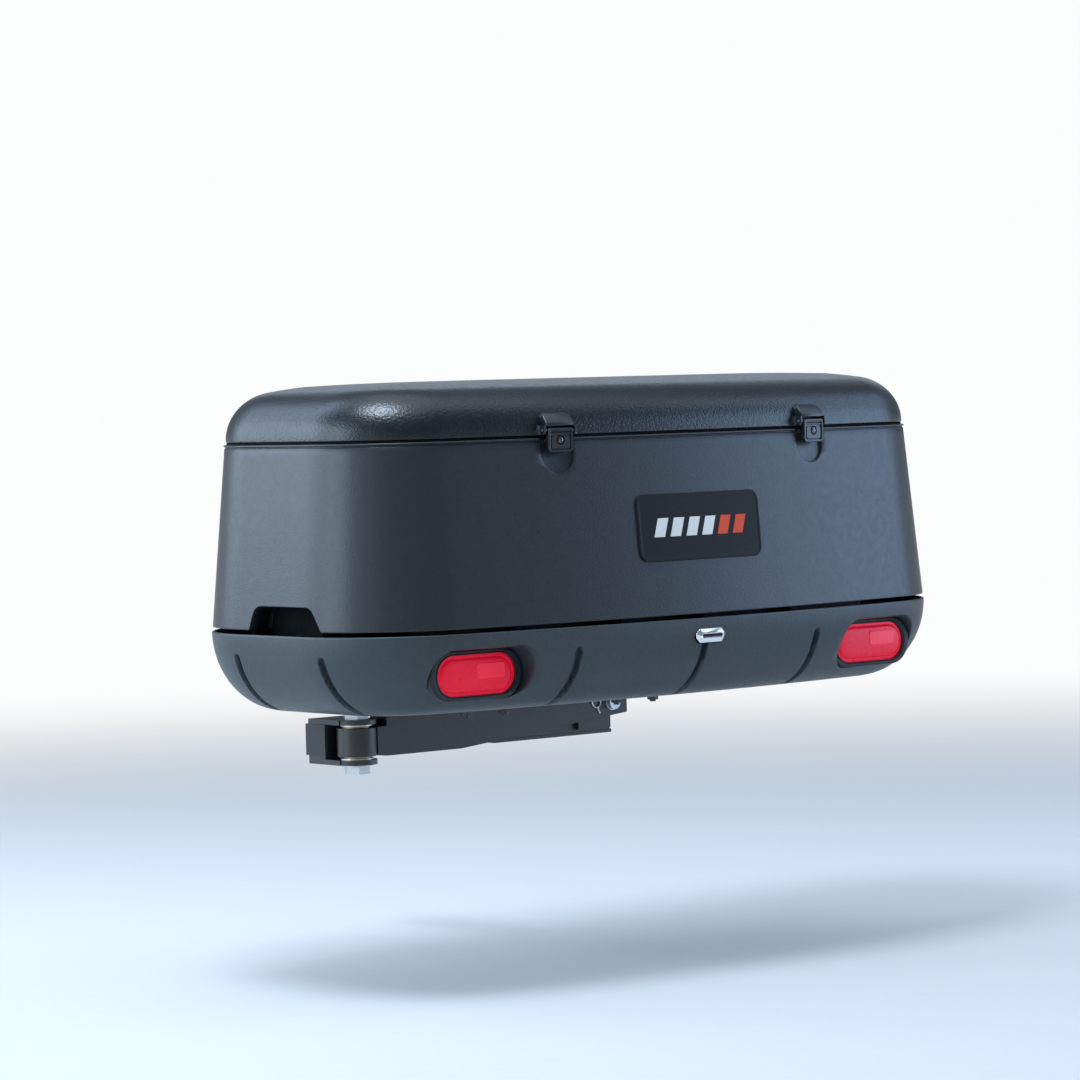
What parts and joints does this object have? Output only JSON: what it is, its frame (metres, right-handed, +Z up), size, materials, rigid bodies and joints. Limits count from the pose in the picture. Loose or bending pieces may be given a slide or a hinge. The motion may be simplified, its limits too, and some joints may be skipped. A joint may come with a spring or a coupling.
{
  "type": "hitch cargo carrier",
  "caption": "Enclosed moulded cargo box with hinged lid on a lit deck tray, carried by a swing-away arm on a square receiver shank.",
  "frame": {"origin": "centre of the hitch pin hole in the square shank", "axes": "+X to the passenger side along the hole and the carrier's length, +Y towards the vehicle along the shank, +Z up"},
  "size_m": [1.295, 0.857, 0.6263],
  "materials": {
    "frame_steel": "satin black powder coat",
    "zinc_steel": "bright zinc plate",
    "spring_steel": "plain spring steel",
    "black_trim": "fine-grained black nylon",
    "bronze": "sintered bronze",
    "deck_plastic": "charcoal moulded plastic, fine leather grain",
    "tub_plastic": "charcoal moulded plastic, fine grain, slight sheen",
    "lid_plastic": "black moulded plastic, fine pebble grain, slight gloss",
    "seal_rubber": "black rubber",
    "red_lens": "red moulded lens",
    "clear_lens": "clear moulded lens",
    "chrome_trim": "bright chrome",
    "rod_chrome": "hard chrome",
    "lamp_board": "white board with clear emitters",
    "badge_face": "near-black plate with a plain emblem",
    "strut_paint": "black paint"
  },
  "bodies": {
    "hitch_frame": {"hitch_shank": "frame_steel", "fixed_arm": "frame_steel", "gusset_plates": "frame_steel", "clevis_plates": "frame_steel", "lock_bracket": "frame_steel", "arm_end_caps": "black_trim", "pivot_bolt": "zinc_steel", "pivot_nut": "zinc_steel", "pivot_washers": "zinc_steel"},
    "carrier": {"swing_arm": "frame_steel", "pivot_bushings": "bronze", "mounting_plates": "frame_steel", "deck_rails": "zinc_steel", "deck_bolts": "frame_steel", "deck_nuts": "frame_steel", "tub_posts": "zinc_steel", "tub_bolts": "zinc_steel", "tub_knobs": "black_trim", "lock_washer": "zinc_steel", "lock_spring": "spring_steel", "clip_ring": "zinc_steel", "deck_tray": "deck_plastic", "licence_lamp_housing": "chrome_trim", "licence_lamp_lens": "clear_lens", "tub_shell": "tub_plastic", "badge_plate": "badge_face", "lid_seal": "seal_rubber", "latch_keepers": "zinc_steel", "tub_hinge_leaves": "frame_steel", "hinge_pins": "zinc_steel", "strut_foot_brackets": "black_trim", "light_grommet_left": "seal_rubber", "light_lens_left": "red_lens", "light_housing_left": "black_trim", "light_board_left": "lamp_board", "light_grommet_right": "seal_rubber", "light_lens_right": "red_lens", "light_housing_right": "black_trim", "light_board_right": "lamp_board"},
    "swing_lock_pin": {"swing_lock_pin": "zinc_steel", "pull_head": "zinc_steel"},
    "lid": {"lid_shell": "lid_plastic", "latch_bases": "black_trim", "latch_pins": "zinc_steel", "lid_hinge_leaves": "frame_steel", "strut_lid_brackets": "black_trim"},
    "latch_lever_left": {"latch_lever_left": "black_trim"},
    "lock_barrel_left": {"lock_barrel_left": "chrome_trim"},
    "strut_cylinder_left": {"strut_cylinder_left": "strut_paint"},
    "strut_rod_left": {"strut_rod_left": "rod_chrome"},
    "latch_lever_right": {"latch_lever_right": "black_trim"},
    "lock_barrel_right": {"lock_barrel_right": "chrome_trim"},
    "strut_cylinder_right": {"strut_cylinder_right": "strut_paint"},
    "strut_rod_right": {"strut_rod_right": "rod_chrome"}
  },
  "joints": [
    {"name": "swing", "type": "hinge", "parent": "hitch_frame", "child": "carrier", "pos_m": [-0.45, -0.4275, -0.003], "axis": [0, 0, -1], "range_deg": [0, 100]},
    {"name": "lock_pin_pull", "type": "slide", "parent": "carrier", "child": "swing_lock_pin", "axis": [0, -1, 0], "range_m": [0, 0.012], "stiffness_N_per_m": 400, "springref_m": -0.01, "deforming": ["lock_spring"]},
    {"name": "lid_open", "type": "hinge", "parent": "carrier", "child": "lid", "pos_m": [0, -0.201, 0.4795], "axis": [-1, 0, 0], "range_deg": [0, 75]},
    {"name": "latch_lift_left", "type": "hinge", "parent": "lid", "child": "latch_lever_left", "pos_m": [-0.27571, -0.7433, 0.49], "axis": [-0.9961, 0.0883, 0], "range_deg": [0, 80], "stiffness_Nm_per_rad": 0.05, "springref_deg": -17.19},
    {"name": "lock_turn_left", "type": "hinge", "parent": "latch_lever_left", "child": "lock_barrel_left", "pos_m": [-0.27588, -0.74529, 0.474], "axis": [0.0883, 0.9961, 0], "range_deg": [0, 90]},
    {"name": "strut_tilt_left", "type": "hinge", "parent": "carrier", "child": "strut_cylinder_left", "pos_m": [-0.534, -0.323, 0.348], "axis": [-1, 0, 0], "range_deg": [0, 23.75]},
    {"name": "strut_slide_left", "type": "slide", "parent": "strut_cylinder_left", "child": "strut_rod_left", "axis": [0, 0.0655, 0.9979], "range_m": [0, 0.11178]},
    {"name": "latch_lift_right", "type": "hinge", "parent": "lid", "child": "latch_lever_right", "pos_m": [0.27571, -0.7433, 0.49], "axis": [-0.9961, -0.0883, 0], "range_deg": [0, 80], "stiffness_Nm_per_rad": 0.05, "springref_deg": -17.19},
    {"name": "lock_turn_right", "type": "hinge", "parent": "latch_lever_right", "child": "lock_barrel_right", "pos_m": [0.27588, -0.74529, 0.474], "axis": [-0.0883, 0.9961, 0], "range_deg": [0, 90]},
    {"name": "strut_tilt_right", "type": "hinge", "parent": "carrier", "child": "strut_cylinder_right", "pos_m": [0.534, -0.323, 0.348], "axis": [-1, 0, 0], "range_deg": [0, 23.75]},
    {"name": "strut_slide_right", "type": "slide", "parent": "strut_cylinder_right", "child": "strut_rod_right", "axis": [0, 0.0655, 0.9979], "range_m": [0, 0.11178]}
  ],
  "couplings": [
    {"joint": "strut_tilt_left", "follows": "lid_open", "ratio": 0.31396},
    {"joint": "strut_slide_left", "follows": "lid_open", "m_per_rad": 0.085008},
    {"joint": "strut_tilt_right", "follows": "lid_open", "ratio": 0.31396},
    {"joint": "strut_slide_right", "follows": "lid_open", "m_per_rad": 0.085008}
  ]
}
